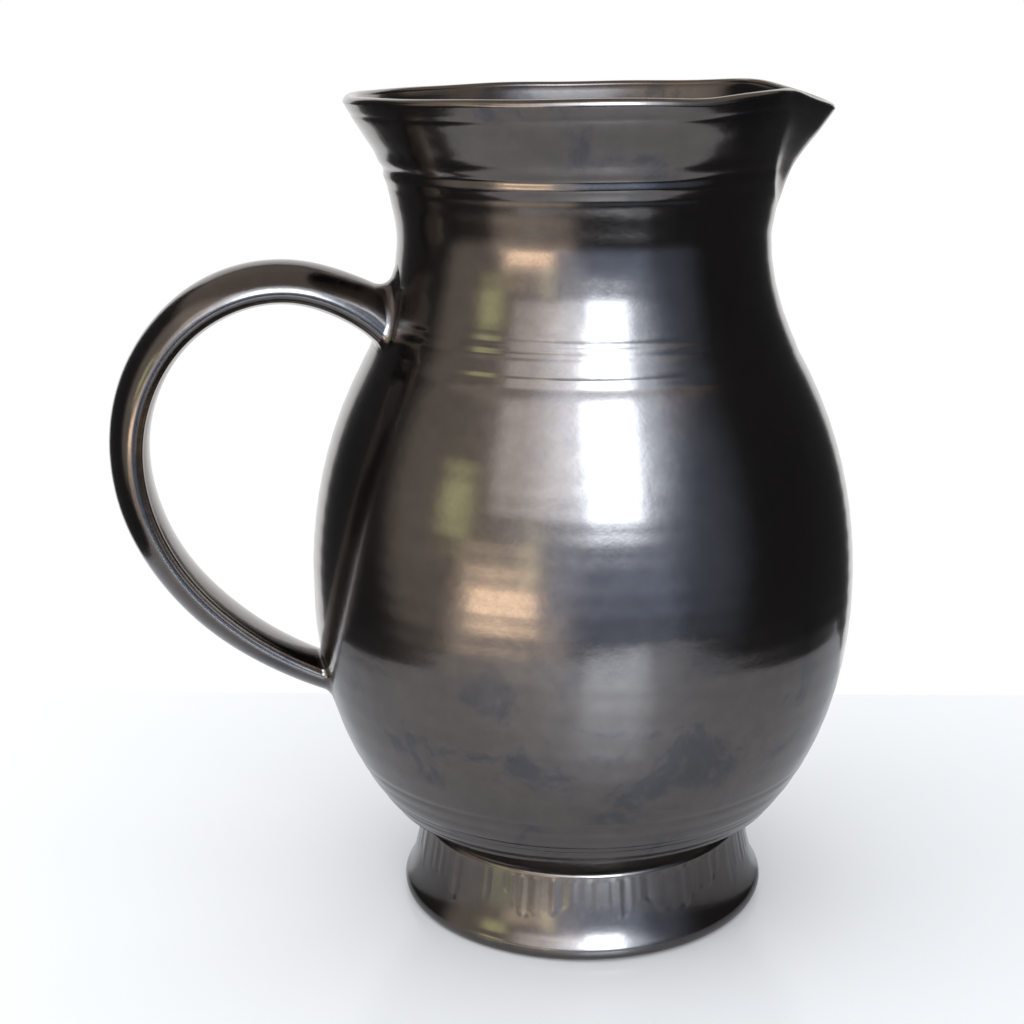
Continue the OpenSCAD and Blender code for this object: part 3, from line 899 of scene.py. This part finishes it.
leaned = math_node(floor_tree, "MULTIPLY_ADD", back, ground_lean, right)
ground_aside = math_node(floor_tree, "ABSOLUTE", leaned)
inside_edge = math_node(floor_tree, "SUBTRACT", ground_edge, ground_aside)
straight_behind = ramp_node(floor_tree, inside_edge, 0, 5 * mm)
ground_seen = math_node(
    floor_tree, "MULTIPLY_ADD", straight_behind, rays["Is Glossy Ray"], rays["Is Camera Ray"]
)
on_ground = math_node(floor_tree, "MULTIPLY", past_back, ground_seen)
white_ground = add_node(floor_tree, "ShaderNodeEmission", Color=(1, 1, 1, 1)).outputs[0]
see_through = add_node(floor_tree, "ShaderNodeBsdfTransparent").outputs[0]
with_room = add_node(
    floor_tree, "ShaderNodeMixShader", _0=to_room, _1=table.outputs[0], _2=see_through
).outputs[0]
with_ground = add_node(
    floor_tree, "ShaderNodeMixShader", _0=on_ground, _1=with_room, _2=white_ground
).outputs[0]
floor_tree.links.new(with_ground, floor_tree.nodes["Material Output"].inputs["Surface"])

# Light
# Soft even light all round, a tall window in front on the right, and dimmer things that the glaze mirrors.
# The white wall behind the jug is mirrored too, and runs along the jug's sides as narrow bright edges.
world = bpy.data.worlds.new("studio")
bpy.context.scene.world = world
world.use_nodes = True
world.cycles.sampling_method = "NONE"
sky = world.node_tree
panel, given, result = add_group(
    "soft_panel",
    {
        "Centre": "Vector", "Right": "Vector", "Up": "Vector",
        "Width": "Float", "Height": "Float", "Soft": "Float",
    },
    {"Mask": "Float"},
)
ray = add_node(panel, "ShaderNodeTexCoord").outputs["Generated"]
ray_ahead, ray_right, ray_up = (
    add_node(
        panel, "ShaderNodeVectorMath", {"operation": "DOT_PRODUCT"}, _0=ray, _1=given[axis]
    ).outputs["Value"]
    for axis in ("Centre", "Right", "Up")
)
mask = math_node(panel, "GREATER_THAN", ray_ahead, 0.05)
for offset, size in ((ray_right, "Width"), (ray_up, "Height")):
    distance = math_node(panel, "ABSOLUTE", math_node(panel, "DIVIDE", offset, ray_ahead))
    inner = math_node(panel, "SUBTRACT", given[size], given["Soft"])
    outer = math_node(panel, "ADD", given[size], given["Soft"])
    mask = math_node(panel, "MULTIPLY", mask, ramp_node(panel, distance, inner, outer, 1.0, 0.0))
panel.links.new(mask, result["Mask"])


def add_panel(before, azimuth, elevation, half_width, half_height, soft, colour, strength):
    """Light of one soft panel, added to what is there. Its angles are in degrees, seen from the jug.

    Azimuth runs from the viewer to the right, and the half sizes are angles too.
    """
    a, e = math.radians(azimuth - view_turn), math.radians(elevation)
    light = add_node(
        sky, "ShaderNodeGroup", {"node_tree": panel},
        Centre=(math.sin(a) * math.cos(e), -math.cos(a) * math.cos(e), math.sin(e)),
        Right=(math.cos(a), math.sin(a), 0),
        Up=(-math.sin(a) * math.sin(e), math.cos(a) * math.sin(e), math.cos(e)),
        Width=math.tan(math.radians(half_width)), Height=math.tan(math.radians(half_height)),
        Soft=math.tan(math.radians(soft)),
    ).outputs[0]
    tinted = add_node(
        sky, "ShaderNodeVectorMath", {"operation": "SCALE"}, _0=[c * strength for c in colour], Scale=light
    ).outputs[0]
    return add_node(sky, "ShaderNodeVectorMath", {"operation": "ADD"}, _0=before, _1=tinted).outputs[0]


# Azimuth, elevation, half width, half height, softness, colour and strength of what the glaze mirrors
mirrored_things = {
    "window": (13.5, 30, 12, 17.5, 3, (0.86, 1.0, 1.15), 9.0),
    "bright sky round it": (11, 37, 24, 24, 13, (0.85, 1.0, 1.2), 2.7),
    "glow round both": (5, 28, 38, 30, 20, (0.78, 1.0, 1.35), 0.45),
    "curtain": (-22, 30, 20, 15, 4, (1.0, 0.95, 0.9), 1.3),
    "bright fold": (-20, 21, 7, 4, 3, (0.95, 0.98, 1.0), 1.0),
    "left wall": (-45, 20, 45, 40, 16, (1.0, 0.92, 0.84), 0.5),
    "leaves": (-57, 14, 7, 8, 4, (0.9, 1.0, 0.45), 1.4),
    "lit floor": (-33, -7.5, 14, 3.2, 3, (1.0, 0.73, 0.5), 5.3),
    "yellow streak": (-22, 5, 4, 7, 3, (1.0, 0.95, 0.55), 1.3),
    "glow of the lit floor": (-36, -4, 15, 9, 6, (1.0, 0.85, 0.65), 1.6),
    "right wall": (50, 15, 18, 30, 14, (0.77, 1.0, 1.4), 0.25),
    "wall under the window": (10, -5, 28, 12, 10, (0.78, 1.0, 1.45), 0.55),
    "floor on the left": (-32, -20, 24, 10, 6, (1.0, 0.88, 0.76), 0.9),
    "ceiling": (0, 90, 50, 45, 12, (1.0, 0.88, 0.78), 0.36),
    "white wall behind the jug": (183.5, 0, 33, 40, 1.5, (1.0, 1.0, 1.0), 1.0),
}
mirrored = add_node(sky, "ShaderNodeCombineXYZ", X=0.045, Y=0.045, Z=0.047).outputs[0]
for thing in mirrored_things.values():
    mirrored = add_panel(mirrored, *thing)
sky_rays = add_node(sky, "ShaderNodeLightPath").outputs
even_light = add_node(
    sky, "ShaderNodeMix", {"data_type": "RGBA"}, _0=sky_rays["Is Camera Ray"], _6=(0.98, 1.0, 1.03, 1),
    _7=(1, 1, 1, 1)
).outputs[2]
sky_light = add_node(
    sky, "ShaderNodeMix", {"data_type": "RGBA"}, _0=sky_rays["Is Glossy Ray"], _6=even_light, _7=mirrored
).outputs[2]
sky.links.new(sky_light, sky.nodes["Background"].inputs["Color"])


def add_lamp(name, azimuth, elevation, distance, width, height, energy):
    """Soft oblong lamp that points at the jug's foot, and that shows neither itself nor its mirror image."""
    data = bpy.data.lights.new(name, "AREA")
    data.shape = "RECTANGLE"
    data.size, data.size_y = width, height
    data.energy = energy
    lamp = bpy.data.objects.new(name, data)
    bpy.context.scene.collection.objects.link(lamp)
    lamp.matrix_world = (
        Matrix.Rotation(math.radians(azimuth - view_turn), 4, "Z")
        @ Matrix.Rotation(math.radians(90 - elevation), 4, "X")
        @ Matrix.Translation((0, 0, distance))
    )
    lamp.visible_glossy = False
    lamp.visible_camera = False


add_lamp("window", azimuth=14, elevation=30, distance=1.7, width=0.6, height=0.9, energy=4.0)
add_lamp("left_wall", azimuth=-70, elevation=35, distance=1.0, width=0.8, height=0.8, energy=1.8)

bpy.context.scene.view_settings.view_transform = "Standard"
